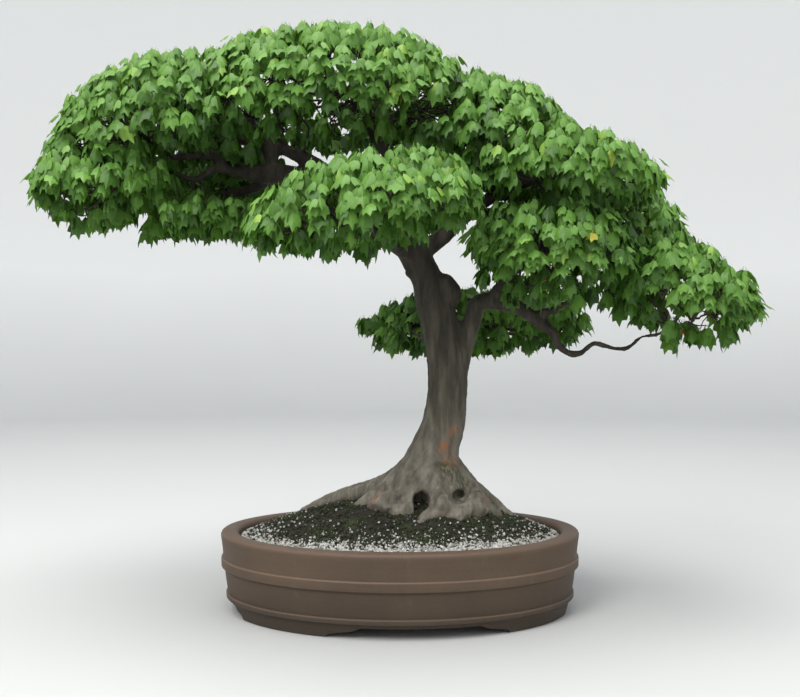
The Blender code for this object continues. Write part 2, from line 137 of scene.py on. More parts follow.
# %% Material helpers
class Finish:
    """A material under construction, with one Principled shader."""

    def __init__(self, name):
        self.material = bpy.data.materials.new(name)
        self.material.use_nodes = True
        self.tree = self.material.node_tree
        self.shader = self.tree.nodes["Principled BSDF"]
        self.place = self.node("ShaderNodeTexCoord").outputs["Object"]

    def node(self, kind, **settings):
        made = self.tree.nodes.new(kind)
        for key, value in settings.items():
            setattr(made, key, value)
        return made

    def join(self, source, target):
        self.tree.links.new(source, target)

    def noise(self, scale, detail=4.0, roughness=0.55, stretch=(1, 1, 1), distortion=0.0):
        """Noise in the piece's own space. A small stretch value draws it out along that axis."""
        mapping = self.node("ShaderNodeMapping")
        mapping.inputs["Scale"].default_value = stretch
        self.join(self.place, mapping.inputs["Vector"])
        made = self.node("ShaderNodeTexNoise")
        made.inputs["Scale"].default_value = scale
        made.inputs["Detail"].default_value = detail
        made.inputs["Roughness"].default_value = roughness
        made.inputs["Distortion"].default_value = distortion
        self.join(mapping.outputs[0], made.inputs["Vector"])
        return made.outputs["Fac"]

    def cells(self, scale):
        made = self.node("ShaderNodeTexVoronoi")
        made.inputs["Scale"].default_value = scale
        self.join(self.place, made.inputs["Vector"])
        return made.outputs["Distance"]

    def ramp(self, source, stops):
        """A colour ramp. Each stop is a position and a grey value or a colour."""
        made = self.node("ShaderNodeValToRGB")
        elements = made.color_ramp.elements
        while len(elements) < len(stops):
            elements.new(0.5)
        for element, (position, colour) in zip(elements, stops):
            element.position = position
            shade = (colour,) * 3 if isinstance(colour, (int, float)) else colour
            element.color = (*shade, 1.0)
        self.join(source, made.inputs["Fac"])
        return made.outputs["Color"]

    def math(self, operation, first, second=0.5):
        made = self.node("ShaderNodeMath", operation=operation)
        for socket, value in zip(made.inputs, (first, second)):
            if isinstance(value, (int, float)):
                socket.default_value = value
            else:
                self.join(value, socket)
        return made.outputs[0]

    def mix(self, amount, first, second, blend="MIX"):
        """Mixes two colours. Each may be a colour or a socket."""
        made = self.node("ShaderNodeMix", data_type="RGBA", blend_type=blend)
        for socket, value in zip((made.inputs[0], made.inputs[6], made.inputs[7]), (amount, first, second)):
            if isinstance(value, (int, float)):
                socket.default_value = value
            elif isinstance(value, tuple):
                socket.default_value = (*value, 1.0)
            else:
                self.join(value, socket)
        return made.outputs[2]

    def spot(self, centre, radius, soft=0.5):
        """1 inside a ball in the piece's space, falling to 0 outside it."""
        away = self.node("ShaderNodeVectorMath", operation="DISTANCE")
        self.join(self.place, away.inputs[0])
        away.inputs[1].default_value = centre
        share = self.math("DIVIDE", away.outputs["Value"], 2 * radius)
        return self.ramp(share, [(soft * 0.5, 1.0), (0.5, 0.0)])

    def height(self):
        split = self.node("ShaderNodeSeparateXYZ")
        self.join(self.place, split.inputs[0])
        return split.outputs["Z"]

    def attribute(self, name):
        return self.node("ShaderNodeAttribute", attribute_name=name).outputs["Fac"]

    def bump(self, source, strength, distance, below=None):
        made = self.node("ShaderNodeBump")
        made.inputs["Strength"].default_value = strength
        made.inputs["Distance"].default_value = distance
        self.join(source, made.inputs["Height"])
        if below is not None:
            self.join(below, made.inputs["Normal"])
        return made.outputs[0]

    def wear(self, colour=None, roughness=None, normal=None):
        for source, socket in ((colour, "Base Color"), (roughness, "Roughness"), (normal, "Normal")):
            if source is not None:
                self.join(source, self.shader.inputs[socket])
        return self.material


# %% [markdown]
# ## Pot
# The pot is pressed unglazed stoneware: a tapering oval with a flat lip, a sharp band under the lip,
# a second band near the base, and four bracket feet with ogee ends. One ring of vertices is extruded
# from oval to oval up the outside, over the lip and down the inside, which keeps the wall one even
# thickness, as a scaled lathe shape would not. Extra rings round off the bands as a wet sponge does.

# %% Pot body
pot_low, pot_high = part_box("pot")
POT_LENGTH = pot_high.x - 0.6 * MM
POT_WIDTH = pot_high.y - 0.6 * MM
POT_HEIGHT = pot_high.z
FOOT_HEIGHT = 14.5 * MM
# half widths of the gaps between the feet, and how far each is turned about the upright axis
FRONT_GAP, END_GAP = (0.118, radians(9)), (0.062, radians(94))
CUT_REACH = 0.3
DRAIN_RADIUS = 16 * MM
# inset from the widest oval and height, in millimetres
POT_PROFILE = [
    (38, 14.5), (37.4, 1.2), (36.6, 0), (16.4, 0), (15.4, 0.8), (14.2, 12), (14.0, 15.2),
    (13.2, 17.2), (11.0, 18.6), (8.0, 19.4), (7.2, 20.2), (6.9, 25.6), (7.3, 26.5), (9.3, 27.3),
    (8.4, 34), (6.8, 44), (5.2, 57), (4.9, 60.6), (4.2, 61.4), (1.2, 61.9), (0.4, 62.8),
    (0.2, 73.2), (0.5, 74.4), (1.1, 75.0), (2.6, 75.6), (2.8, 78), (2.0, 88), (0.4, 100),
    (-0.2, 105.4), (1.0, 108.4), (2.6, 109.7), (7, 110), (17.6, 110), (21.2, 109.4), (23.6, 107.4),
    (24.7, 104.4), (25, 98), (27, 70), (31, 34), (36, 27),
]
POT_SIDES = 168


def oval_skin(profile, sides, length, width):
    """Extrudes one ring of vertices from oval to oval and caps both ends."""
    bm = bmesh.new()
    ring = bmesh.ops.create_circle(bm, segments=sides, radius=1.0)["verts"]
    edges = bm.edges[:]
    last = (1.0, 1.0)
    for step, (inset, height) in enumerate(profile):
        if step:
            grown = bmesh.ops.extrude_edge_only(bm, edges=edges)["geom"]
            edges = [e for e in grown if isinstance(e, bmesh.types.BMEdge)]
            ring = [v for v in grown if isinstance(v, bmesh.types.BMVert)]
        size = (length - inset * MM, width - inset * MM)
        bmesh.ops.scale(bm, verts=ring, vec=(size[0] / last[0], size[1] / last[1], 1.0))
        for vertex in ring:
            vertex.co.z = height * MM
        last = size
    ends = [e for e in bm.edges if e.is_boundary]
    bmesh.ops.holes_fill(bm, edges=ends, sides=sides)
    bmesh.ops.recalc_face_normals(bm, faces=bm.faces)
    return bm


def foot_gap(half_gap, turn):
    """The space between two feet, with an ogee sweep at each side."""
    ogee = [(1.0, -0.2), (1.0, 0.02), (0.985, 0.2), (0.95, 0.36), (0.88, 0.48), (0.8, 0.58)]
    ogee += [(0.73, 0.7), (0.68, 0.84), (0.65, 1.0)]
    crest = FOOT_HEIGHT - 0.7 * MM
    side = [(x * half_gap, z * crest) for x, z in ogee]
    bm = bmesh.new()
    outline = [bm.verts.new((x, -CUT_REACH, z)) for x, z in side + [(-x, z) for x, z in reversed(side)]]
    face = bm.faces.new(outline)
    grown = bmesh.ops.extrude_face_region(bm, geom=[face])["geom"]
    far = [v for v in grown if isinstance(v, bmesh.types.BMVert)]
    bmesh.ops.translate(bm, verts=far, vec=(0, 2 * CUT_REACH, 0))
    bmesh.ops.rotate(bm, verts=bm.verts, cent=(0, 0, 0), matrix=Matrix.Rotation(turn, 3, "Z"))
    bmesh.ops.recalc_face_normals(bm, faces=bm.faces)
    return linked("gap", mesh_from(bm, "gap"))


def drain_cutter(x):
    bm = bmesh.new()
    bmesh.ops.create_cone(
        bm, cap_ends=True, segments=40, radius1=DRAIN_RADIUS, radius2=DRAIN_RADIUS, depth=50 * MM
    )
    bmesh.ops.translate(bm, verts=bm.verts, vec=(x, 0, 0.02))
    return linked("drain", mesh_from(bm, "drain"))


screen_low, screen_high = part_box("drain_screen_right")
drain_x = (screen_low.x + screen_high.x) / 2
cutters = [foot_gap(*FRONT_GAP), foot_gap(*END_GAP), drain_cutter(drain_x), drain_cutter(-drain_x)]
pot_bm = oval_skin(POT_PROFILE, POT_SIDES, POT_LENGTH, POT_WIDTH)
cuts = [("BOOLEAN", {"operation": "DIFFERENCE", "solver": "EXACT", "object": c}) for c in cutters]
pot_mesh = evaluated(mesh_from(pot_bm, "pot_body"), *cuts)
for cutter in cutters:
    bpy.data.objects.remove(cutter)
pot_mesh.shade_smooth()
pot_mesh.set_sharp_from_angle(angle=radians(38))
print("pot faces:", len(pot_mesh.polygons))

# %% [markdown]
# Unglazed clay is never one flat brown. It has a fine sandy grain, faint lines where it was wiped while
# wet, a darker wall towards the base, and pale lime left by watering. Painted highlights run along the tops
# of both bands and the lip, and a painted shadow line lies under each band.


# %% Stoneware finish
def stoneware_finish():
    clay = Finish("stoneware_clay")
    cloud = clay.noise(9.0, detail=6, roughness=0.6)
    colour = clay.ramp(cloud, [
        (0.3, (0.070, 0.047, 0.030)), (0.55, (0.092, 0.063, 0.041)), (0.75, (0.113, 0.077, 0.052)),
    ])
    wiped = clay.noise(6.0, detail=5, stretch=(1, 1, 55))
    colour = clay.mix(clay.ramp(wiped, [(0.4, 0.0), (0.75, 0.22)]), colour, (0.130, 0.088, 0.062))
    # the wall is darker towards the base
    up = clay.math("MULTIPLY", clay.height(), 9.0)
    up = clay.math("ADD", up, clay.math("MULTIPLY", cloud, 0.25))
    low = clay.ramp(up, [(0.22, 1.0), (0.78, 0.0)])
    colour = clay.mix(clay.math("MULTIPLY", low, 0.88), colour, (0.044, 0.033, 0.023))
    drips = clay.noise(26.0, detail=7, roughness=0.7, stretch=(1, 1, 0.6))
    lime = clay.ramp(drips, [(0.58, 0.0), (0.75, 0.4)])
    colour = clay.mix(clay.math("MULTIPLY", lime, 0.55), colour, (0.22, 0.18, 0.148))
    share = clay.math("MULTIPLY", clay.height(), 1 / POT_HEIGHT)
    # painted highlights along the tops of both bands and on the lip
    painted_band_highlight = clay.ramp(share, [
        (0.226, 0.0), (0.238, 0.8), (0.250, 0.0), (0.664, 0.0), (0.678, 1.0), (0.690, 0.0), (0.95, 0.0),
        (0.985, 0.6),
    ])
    colour = clay.mix(clay.math("MULTIPLY", painted_band_highlight, 0.5), colour, (0.25, 0.17, 0.13))
    # painted shadow lines just under each band
    painted_band_shadow = clay.ramp(share, [
        (0.155, 0.0), (0.172, 1.0), (0.185, 0.0), (0.530, 0.0), (0.553, 1.0), (0.568, 0.0),
    ])
    colour = clay.mix(clay.math("MULTIPLY", painted_band_shadow, 0.65), colour, (0.030, 0.022, 0.016))
    grain = clay.noise(900.0, detail=3)
    specks = clay.ramp(clay.cells(420.0), [(0.06, 1.0), (0.16, 0.0)])
    colour = clay.mix(clay.math("MULTIPLY", specks, 0.5), colour, (0.055, 0.042, 0.034))
    sandy = clay.ramp(grain, [(0.3, (0.30, 0.27, 0.25)), (0.7, (0.62, 0.58, 0.55))])
    colour = clay.mix(0.35, colour, sandy, "OVERLAY")
    rough = clay.ramp(cloud, [(0.3, 0.52), (0.7, 0.72)])
    normal = clay.bump(grain, 0.25, 0.0004)
    normal = clay.bump(wiped, 0.12, 0.0006, below=normal)
    clay.shader.inputs["Specular IOR Level"].default_value = 0.35
    return clay.wear(colour, rough, normal)


finish_piece("pot_clay", pot_mesh, stoneware_finish(), ["pot"], smooth=False)

# %% [markdown]
# ## Drain screens and clips
# Under the soil, a square of plastic mesh keeps the grains from washing out of each drain hole, and
# a bent wire holds it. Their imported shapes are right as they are, so only their finish changes.


# %% Screen and wire finishes
def mesh_plastic_finish():
    plastic = Finish("screen_plastic")
    scuffs = plastic.noise(160.0, detail=5)
    colour = plastic.ramp(scuffs, [(0.35, (0.012, 0.013, 0.012)), (0.7, (0.035, 0.036, 0.033))])
    rough = plastic.ramp(scuffs, [(0.3, 0.42), (0.7, 0.68)])
    return plastic.wear(colour, rough, plastic.bump(scuffs, 0.2, 0.0003))


def clip_wire_finish():
    wire = Finish("clip_wire")
    dull = wire.noise(220.0, detail=5)
    colour = wire.ramp(dull, [(0.3, (0.42, 0.43, 0.45)), (0.7, (0.62, 0.63, 0.64))])
    wire.shader.inputs["Metallic"].default_value = 1.0
    return wire.wear(colour, wire.ramp(dull, [(0.3, 0.28), (0.7, 0.5)]), wire.bump(dull, 0.15, 0.0002))


def dress_node(node, material):
    for slot in nodes[node].material_slots:
        slot.material = material


screen_plastic, wire_metal = mesh_plastic_finish(), clip_wire_finish()
for side in ("left", "right"):
    dress_node(f"drain_screen_{side}", screen_plastic)
    dress_node(f"screen_clip_{side}", wire_metal)


# %% [markdown]
# ## Soil
# The soil fills the pot and shows only through the drain holes and between grains of grit, so the
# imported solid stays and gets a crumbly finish.


# %% Soil finish
def soil_finish():
    earth = Finish("granular_soil")
    crumbs = earth.cells(260.0)
    damp = earth.noise(40.0, detail=6)
    colour = earth.ramp(crumbs, [(0.0, (0.07, 0.045, 0.028)), (0.5, (0.028, 0.018, 0.012))])
    colour = earth.mix(earth.ramp(damp, [(0.4, 0.0), (0.7, 0.6)]), colour, (0.11, 0.075, 0.045))
    return earth.wear(colour, earth.ramp(damp, [(0.3, 0.82), (0.7, 0.97)]), earth.bump(crumbs, 0.8, 0.002))


dress_node("soil", soil_finish())

# %% [markdown]
# ## Wood
# Trunk, roots and limbs grew as one piece, so they stay one mesh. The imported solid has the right
# limbs but flat facets. A voxel remesh skins it evenly, a light smoothing rounds it, and every vertex
# is then pushed along its normal: long flutes down the trunk, ridges that spread into the roots, and
# a fine roughness all over.

# %% Bark relief
TRUNK_FOOT = Vector((0.047, 0.0, 0.0))
FLARE_TOP = 0.235
FORK_HEIGHT = 0.47
BARK_VOXEL = 2.0 * MM
BARK_SHARE = 0.74


def bark_relief(place):
    """How far the bark stands out at a point, in metres."""
    x, y, z = place
    stretched = Vector((x * 62, y * 62, z * 9))
    flutes = noise.fractal(stretched, 0.9, 2.1, 3)
    lumps = noise.noise(Vector((x, y, z)) * 26)
    crumble = noise.fractal(Vector((x * 240, y * 240, z * 150)), 0.8, 2.0, 3)
    trunk = max(0.0, min(1.0, (FORK_HEIGHT + 0.06 - z) / 0.08))
    girth = 0.35 + 0.65 * trunk
    flare = max(0.0, min(1.0, (FLARE_TOP - z) / 0.07))
    around = Vector((x - TRUNK_FOOT.x, y - TRUNK_FOOT.y, 0)).normalized()
    ridges = noise.noise(Vector((around.x * 4.2, around.y * 4.2, z * 7)))
    slender = max(0.0, min(1.0, (abs(x - 0.03) - 0.13) / 0.07, (z - 0.25) / 0.05))
    grooves = girth * (1.5 * flutes * trunk + 1.4 * lumps) + 0.5 * crumble
    return MM * (grooves + flare * 3.4 * ridges - LIMB_THINNING * slender)


# millimetres taken off the outer limbs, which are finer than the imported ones
LIMB_THINNING = 2.3


def dented_balls(name, balls):
    """Dented balls in one mesh, each given by its centre and half sizes in millimetres."""
    bm = bmesh.new()
    for centre, half_sizes in balls:
        stretch = Matrix.Diagonal((*(Vector(half_sizes) * MM), 1.0))
        shape = Matrix.Translation(Vector(centre) * MM) @ stretch
        made = bmesh.ops.create_icosphere(bm, subdivisions=4, radius=1.0)["verts"]
        for vertex in made:
            dents = 0.5 * noise.noise(vertex.co * 1.6 + Vector(centre))
            vertex.co *= 1.0 + dents + 0.2 * noise.noise(vertex.co * 4.5)
        bmesh.ops.transform(bm, verts=made, matrix=shape)
    return mesh_from(bm, name)


SWELLS = [
    ((-12, -44, 150), (30, 26, 22)), ((4, -58, 143), (20, 18, 15)), ((100, -46, 148), (21, 22, 19)),
    ((78, -66, 141), (17, 16, 12)), ((54, -62, 152), (13, 20, 18)),
]
HOLLOWS = [
    ((28, -70, 153), (13, 26, 14)), ((34, -72, 147), (9, 20, 8)), ((83, -66, 161), (11, 24, 8)),
    ((60, -92, 138), (5, 9, 4)),
]
joined = bmesh.new()
joined.from_mesh(merged_copy("wood"))
joined.from_mesh(dented_balls("swells", SWELLS))
hollow_cutter = linked("hollows", dented_balls("hollows", HOLLOWS))
wood_mesh = evaluated(
    mesh_from(joined, "wood_joined"),
    ("REMESH", {"mode": "VOXEL", "voxel_size": BARK_VOXEL}),
    ("BOOLEAN", {"operation": "DIFFERENCE", "solver": "MANIFOLD", "object": hollow_cutter}),
    ("REMESH", {"mode": "VOXEL", "voxel_size": BARK_VOXEL}),
    ("SMOOTH", {"factor": 0.5, "iterations": 5}),
)
bpy.data.objects.remove(hollow_cutter)
wood_places = vertex_array(wood_mesh)
wood_normals = vertex_array(wood_mesh, "normal")
relief = np.array([bark_relief(p) for p in wood_places]) + 0.5 * MM
wood_places = wood_places + wood_normals * relief[:, None]
set_vertices(wood_mesh, wood_places)
wood_mesh = evaluated(wood_mesh, ("DECIMATE", {"ratio": BARK_SHARE}))
print("bark triangles:", sum(len(face.vertices) - 2 for face in wood_mesh.polygons))

# %% [markdown]
# The bark of an old trident maple is grey-brown and flaking. It is palest on the flare, darker and browner
# up the trunk, and painted nearly black higher up as the shade of the crown, with painted shade also on the
# low right limb under the pads. It has orange patches where plates have come off and a green film of algae
# near the ground.


# %% Bark finish
def bark_finish():
    bark = Finish("maple_bark")
    streaks = bark.noise(85.0, detail=7, roughness=0.62, stretch=(1, 1, 0.16), distortion=0.3)
    patches = bark.noise(22.0, detail=5, roughness=0.6, stretch=(1, 1, 0.45))
    plates = bark.noise(210.0, detail=5, roughness=0.6, stretch=(1, 1, 0.35))
    colour = bark.ramp(streaks, [
        (0.3, (0.030, 0.026, 0.018)), (0.48, (0.062, 0.055, 0.040)), (0.68, (0.120, 0.108, 0.080)),
    ])
    pale = bark.ramp(streaks, [
        (0.3, (0.090, 0.078, 0.060)), (0.5, (0.190, 0.172, 0.138)), (0.72, (0.32, 0.29, 0.24)),
    ])
    up = bark.math("ADD", bark.height(), bark.math("MULTIPLY", patches, 0.09))
    colour = bark.mix(bark.ramp(up, [(0.20, 1.0), (0.36, 0.0)]), colour, pale)
    # painted shade of the crown: the bark darkens to near black higher up
    shade = bark.ramp(up, [(0.40, 0.0), (0.52, 0.85)])
    painted_crown_shade = bark.ramp(streaks, [(0.3, (0.012, 0.009, 0.007)), (0.7, (0.042, 0.034, 0.026))])
    colour = bark.mix(shade, colour, painted_crown_shade)
    dark = bark.ramp(patches, [(0.36, 0.55), (0.52, 0.0)])
    colour = bark.mix(dark, colour, bark.mix(0.55, colour, (0.02, 0.017, 0.012)))
    # painted shade on the low right limb, deep under the pads
    limb = bark.math("MULTIPLY", bark.spot(*LIMB_SHADE_SPOT, 0.25), 0.72)
    brown = bark.ramp(streaks, [(0.3, (0.014, 0.011, 0.009)), (0.7, (0.050, 0.041, 0.032))])
    colour = bark.mix(limb, colour, brown)
    for centre, radius in BARK_SCARS:
        flaked = bark.ramp(plates, [(0.42, 0.0), (0.56, 1.0)])
        ragged = bark.math("MULTIPLY", bark.spot(centre, radius, 0.3), flaked)
        colour = bark.mix(bark.math("MULTIPLY", ragged, 0.8), colour, (0.33, 0.120, 0.040))
    for centre, radius in ALGAE:
        patchy = bark.ramp(plates, [(0.40, 0.0), (0.56, 0.85)])
        film = bark.math("MULTIPLY", bark.spot(centre, radius, 0.2), patchy)
        colour = bark.mix(film, colour, (0.046, 0.050, 0.018))
    rough = bark.ramp(plates, [(0.3, 0.72), (0.7, 0.92)])
    normal = bark.bump(streaks, 0.55, 0.0016)
    normal = bark.bump(plates, 0.45, 0.0007, below=normal)
    bark.shader.inputs["Specular IOR Level"].default_value = 0.3
    return bark.wear(colour, rough, normal)


# centres and radii in metres: painted shade on the low right limb, and marks on the front of the trunk
LIMB_SHADE_SPOT = ((0.27, -0.02, 0.40), 0.17)
BARK_SCARS = [
    ((0.079, -0.03, 0.247), 0.015), ((0.062, -0.032, 0.226), 0.014), ((0.070, -0.032, 0.207), 0.017),
    ((-0.036, -0.05, 0.160), 0.015), ((0.115, -0.04, 0.158), 0.009),
]
ALGAE = [((0.072, -0.045, 0.190), 0.026), ((0.090, -0.04, 0.180), 0.020), ((0.060, -0.045, 0.20), 0.016)]
bark_material = bark_finish()
finish_piece("wood_skin", wood_mesh, bark_material, ["wood"])

# %% [markdown]
# ## Shoots
# A trained maple carries its leaves in small clusters at the ends of fine twigs, spread over the
# outside of each branch's pad. So the pads' packed cushions guide the work: cluster points are thrown
# at random on each cushion's skin, a point is kept if no other is too near, and twigs then run from
# the wood to every point.

# %% Cluster points
pads = sorted(name for name in nodes if name.startswith("leaves_"))
pad_meshes = {name: merged_copy(name) for name in pads}
pad_trees = {}
for name, mesh in pad_meshes.items():
    bm = bmesh.new()
    bm.from_mesh(mesh)
    pad_trees[name] = BVHTree.FromBMesh(bm)
    bm.free()
wood_tree = KDTree(len(wood_places))
for index, place in enumerate(wood_places):
    wood_tree.insert(place, index)
wood_tree.balance()

TOP_SPACING = 21.5 * MM
UNDER_SPACING = 31 * MM
THROWS_PER_SQUARE_METRE = 30000
NEIGHBOUR_GAP = 8 * MM
MERGE_REACH = 34 * MM


def surface_points(mesh, rng):
    """Random points on a mesh, even over its area, with the normal at each."""
    mesh.calc_loop_triangles()
    corners = vertex_array(mesh)
    faces = np.array([t.vertices[:] for t in mesh.loop_triangles])
    a, b, c = (corners[faces[:, i]] for i in range(3))
    cross = np.cross(b - a, c - a)
    areas = np.linalg.norm(cross, axis=1) / 2
    count = int(areas.sum() * THROWS_PER_SQUARE_METRE)
    picks = rng.choice(len(faces), size=count, p=areas / areas.sum())
    u, v = rng.random(count), rng.random(count)
    over = u + v > 1
    u[over], v[over] = 1 - u[over], 1 - v[over]
    places = a[picks] + (b - a)[picks] * u[:, None] + (c - a)[picks] * v[:, None]
    normals = cross[picks] / np.linalg.norm(cross[picks], axis=1)[:, None]
    return places, normals


def depth_below(normal, near_other, rng):
    """Leaves stick out sideways further than they stand up, so the sides of a pad start deeper."""
    side = 0.0 if near_other else 1.0 - abs(normal[2])
    hang = max(0.0, -normal[2])
    return MM * (9 + 14 * side + 6 * hang + rng.uniform(-4, 6))


def nearest_pad(name, place, reach):
    """Whether another pad's skin is within reach."""
    others = (tree for other, tree in pad_trees.items() if other != name)
    return any(tree.find_nearest(place, reach)[0] is not None for tree in others)


def sky_seen(place, rng):
    """The share of the sky above a point that no cushion hides."""
    open_ways = 0
    for _ in range(SKY_RAYS):
        way = Vector(rng.normal(0, 1, 3)).normalized()
        way.z = abs(way.z) + 0.25
        if not any(tree.ray_cast(place, way, 0.6)[0] is not None for tree in pad_trees.values()):
            open_ways += 1
    return open_ways / SKY_RAYS


SKY_RAYS = 14


def cluster_points(name, rng):
    """Points under a pad's skin, no two too near, each with the way out and its share of sky."""
    places, normals = surface_points(pad_meshes[name], rng)
    kept = []
    grid = {}
    for place, normal in zip(places, normals):
        under = normal[2] < -0.3
        spacing = UNDER_SPACING if under else TOP_SPACING
        cell = tuple((place // TOP_SPACING).astype(int))
        around = [
            other
            for i in (-2, -1, 0, 1, 2) for j in (-2, -1, 0, 1, 2) for k in (-2, -1, 0, 1, 2)
            for other in grid.get((cell[0] + i, cell[1] + j, cell[2] + k), ())
        ]
        if any(np.linalg.norm(place - other) < spacing for other in around):
            continue
        grid.setdefault(cell, []).append(place)
        inner = nearest_pad(name, Vector(place), NEIGHBOUR_GAP)
        if (inner and rng.random() < 0.3) or (under and rng.random() < 0.15):
            continue
        depth = depth_below(normal, nearest_pad(name, Vector(place), MERGE_REACH), rng)
        # the share of sky, used to paint shade into the leaves' tints
        sky = sky_seen(Vector(place + normal * 3 * MM), rng)
        kept.append((Vector(place - normal * depth), Vector(normal), sky))
    return kept


rng = np.random.default_rng(11)
clusters = {name: cluster_points(name, rng) for name in pads}
print("clusters:", {name: len(found) for name, found in clusters.items()})

# %% [markdown]
# Twigs are thin tapering tubes. A few crooked boughs leave the wood in each pad and end at hubs, and
# each cluster's twig leaves the nearest hub. A curve object with a radius at every point makes them
# quickly, because one curve can hold hundreds of splines.

# %% Twigs
CLUSTERS_PER_HUB = 6


def add_twig(curve, start, end, thick, thin, crook, rng):
    """A spline from start to end that dips and turns at its buds, and thins to its tip."""
    length = (end - start).length
    steps = 5 if length < 60 * MM else 9
    bow = Vector(rng.normal(0, 0.5, 3)) * crook * length - Vector((0, 0, 0.9 * crook * length))
    spline = curve.splines.new("POLY")
    spline.points.add(steps)
    for step, point in enumerate(spline.points):
        t = step / steps
        inside = sin(pi * t)
        turn = Vector(rng.normal(0, 0.32, 3)) * crook * length * min(1.0, 3 * inside)
        point.co = (*(start.lerp(end, t) + bow * inside + turn), 1.0)
        point.radius = thick + (thin - thick) * t


def hubs_of(found, middle, rng):
    """Spreads the hubs over a pad, drawn in towards its middle and down."""
    count = max(3, len(found) // CLUSTERS_PER_HUB)
    picks = rng.choice(len(found), size=count, replace=False)
    return [found[i][0].lerp(middle, 0.38) - Vector((0, 0, 9 * MM)) for i in picks]


twig_curve = bpy.data.curves.new("twigs", "CURVE")
twig_curve.dimensions = "3D"
twig_curve.bevel_depth = 1.0
twig_curve.bevel_resolution = 0
twig_curve.use_fill_caps = True
for name in pads:
    low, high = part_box(name)
    middle = (low + high) / 2 - Vector((0, 0, 14 * MM))
    hubs = hubs_of(clusters[name], middle, rng)
    for hub in hubs:
        near = wood_tree.find(hub.lerp(middle, 0.45) - Vector((0, 0, 10 * MM)))[0]
        reach = (hub - near).length
        add_twig(twig_curve, near, hub, (1.5 + 12 * reach) * MM, 1.2 * MM, 0.09, rng)
    for place, _, _ in clusters[name]:
        hub = min(hubs, key=lambda h: (h - place).length)
        add_twig(twig_curve, hub, place, 1.1 * MM, 0.6 * MM, 0.11, rng)
twig_object = linked("twigs", twig_curve)
bpy.context.view_layer.update()
depsgraph = bpy.context.evaluated_depsgraph_get()
twig_mesh = bpy.data.meshes.new_from_object(twig_object.evaluated_get(depsgraph))
bpy.data.objects.remove(twig_object)
finish_piece("twigs", twig_mesh, bark_material)

# %% [markdown]
# ## Leaves
# A trident maple leaf has three lobes that all point forward, on a long stalk. A small grid of seven
# ribs by five rows makes it: the middle rib runs to the middle tip, the next ribs end in the notches,
# and the outer two on each side meet at the side lobe's tip. Rows then bend the blade down, and its
# halves fold about the midrib. A stalk is a narrow strip behind the blade.

# %% One leaf
# start, bend and end of each rib, from the midrib outwards, for a blade 1 long
RIBS = [
    ((0.0, 0.0), (0.0, 0.5), (0.0, 1.0)),
    ((0.055, -0.015), (0.14, 0.30), (0.150, 0.66)),
    ((0.12, -0.005), (0.27, 0.24), (0.355, 0.64)),
    ((0.20, 0.045), (0.43, 0.16), (0.360, 0.655)),
]
RIB_STRIPS = 6
ROWS = 4
STALK = 0.30


def leaf_mesh(name, droop, fold, curl):
    """A blade 1 long with its stalk's foot at the origin. Angles in degrees."""
    bm = bmesh.new()
    bmesh.ops.create_grid(bm, x_segments=RIB_STRIPS, y_segments=ROWS, size=0.5, calc_uvs=True)
    for vertex in bm.verts:
        rib = round((vertex.co.x + 0.5) * RIB_STRIPS) - 3
        t = vertex.co.y + 0.5
        start, bend, end = (Vector(p) for p in RIBS[abs(rib)])
        flat = start * (1 - t) ** 2 + bend * 2 * t * (1 - t) + end * t * t
        side = 1 if rib > 0 else -1
        angle = -radians(droop) * max(flat.y, 0.0)
        forward = flat.y * cos(angle / 2)
        drop = flat.y * sin(angle / 2)
        edge = flat.x * sin(radians(fold)) + curl * flat.x**2 + 0.02 * sin(9 * flat.y + 2 * rib)
        vertex.co = (side * flat.x * cos(radians(fold)), STALK + forward, drop + edge)
    for edge in bm.edges:
        if all(abs(vertex.co.x) < 0.001 for vertex in edge.verts):
            edge.smooth = False
    stalk = bmesh.ops.create_grid(bm, x_segments=1, y_segments=3, size=0.5, calc_uvs=True)["verts"]
    for vertex in stalk:
        t = vertex.co.y + 0.5
        vertex.co = (vertex.co.x * 0.035, t * STALK, 0.05 * sin(pi * t))
    return mesh_from(bm, name)


leaf_kinds = [
    leaf_mesh("leaf_flat", 24, -14, -0.18),
    leaf_mesh("leaf_bent", 50, -24, -0.30),
    leaf_mesh("leaf_cupped", 36, -8, -0.55),
    leaf_mesh("leaf_hung", 66, -30, -0.2),
]
leaf_shapes = [vertex_array(mesh) for mesh in leaf_kinds]
print("faces of a leaf:", len(leaf_kinds[0].polygons))

# %% [markdown]
# The leaves of a cluster stand in crossed pairs. The lowest pair is the largest and hangs furthest
# out; the youngest, at the tip, is small. Gravity and light turn every blade: its tip hangs down and
# out, and its upper face looks up and out of the pad, so the leaves lie over each other like tiles.

# %% Place the leaves
PAIRS = 4
LEAF_LENGTH = 26 * MM
TURNED_CENTRE = Vector((-0.400, -0.03, 0.712))
TURNED_REACH = 26 * MM
UP = Vector((0, 0, 1))


def leaf_frame(tip, face):
    """A rotation whose Y runs to the leaf's tip and whose Z is its upper face."""
    y = tip.normalized()
    z = (face - y * face.dot(y)).normalized()
    x = y.cross(z)
    return Matrix((x, y, z)).transposed()


def leaf_tint(place, sky, age, rng):
    """0 is a dark leaf under painted shade, 0.85 a fresh one in full light, and 1 one that has turned."""
    if (place - TURNED_CENTRE).length < TURNED_REACH and rng.random() < 0.5:
        return rng.uniform(0.95, 1.0)
    if rng.random() < 0.002:
        return rng.uniform(0.88, 0.97)
    # the sky share paints shade: leaves that the cushions hide from the sky get darker tints
    return float(np.clip(rng.normal(0.36 + 0.22 * sky, 0.11) + 0.10 * (1 - age), 0.0, 0.82))


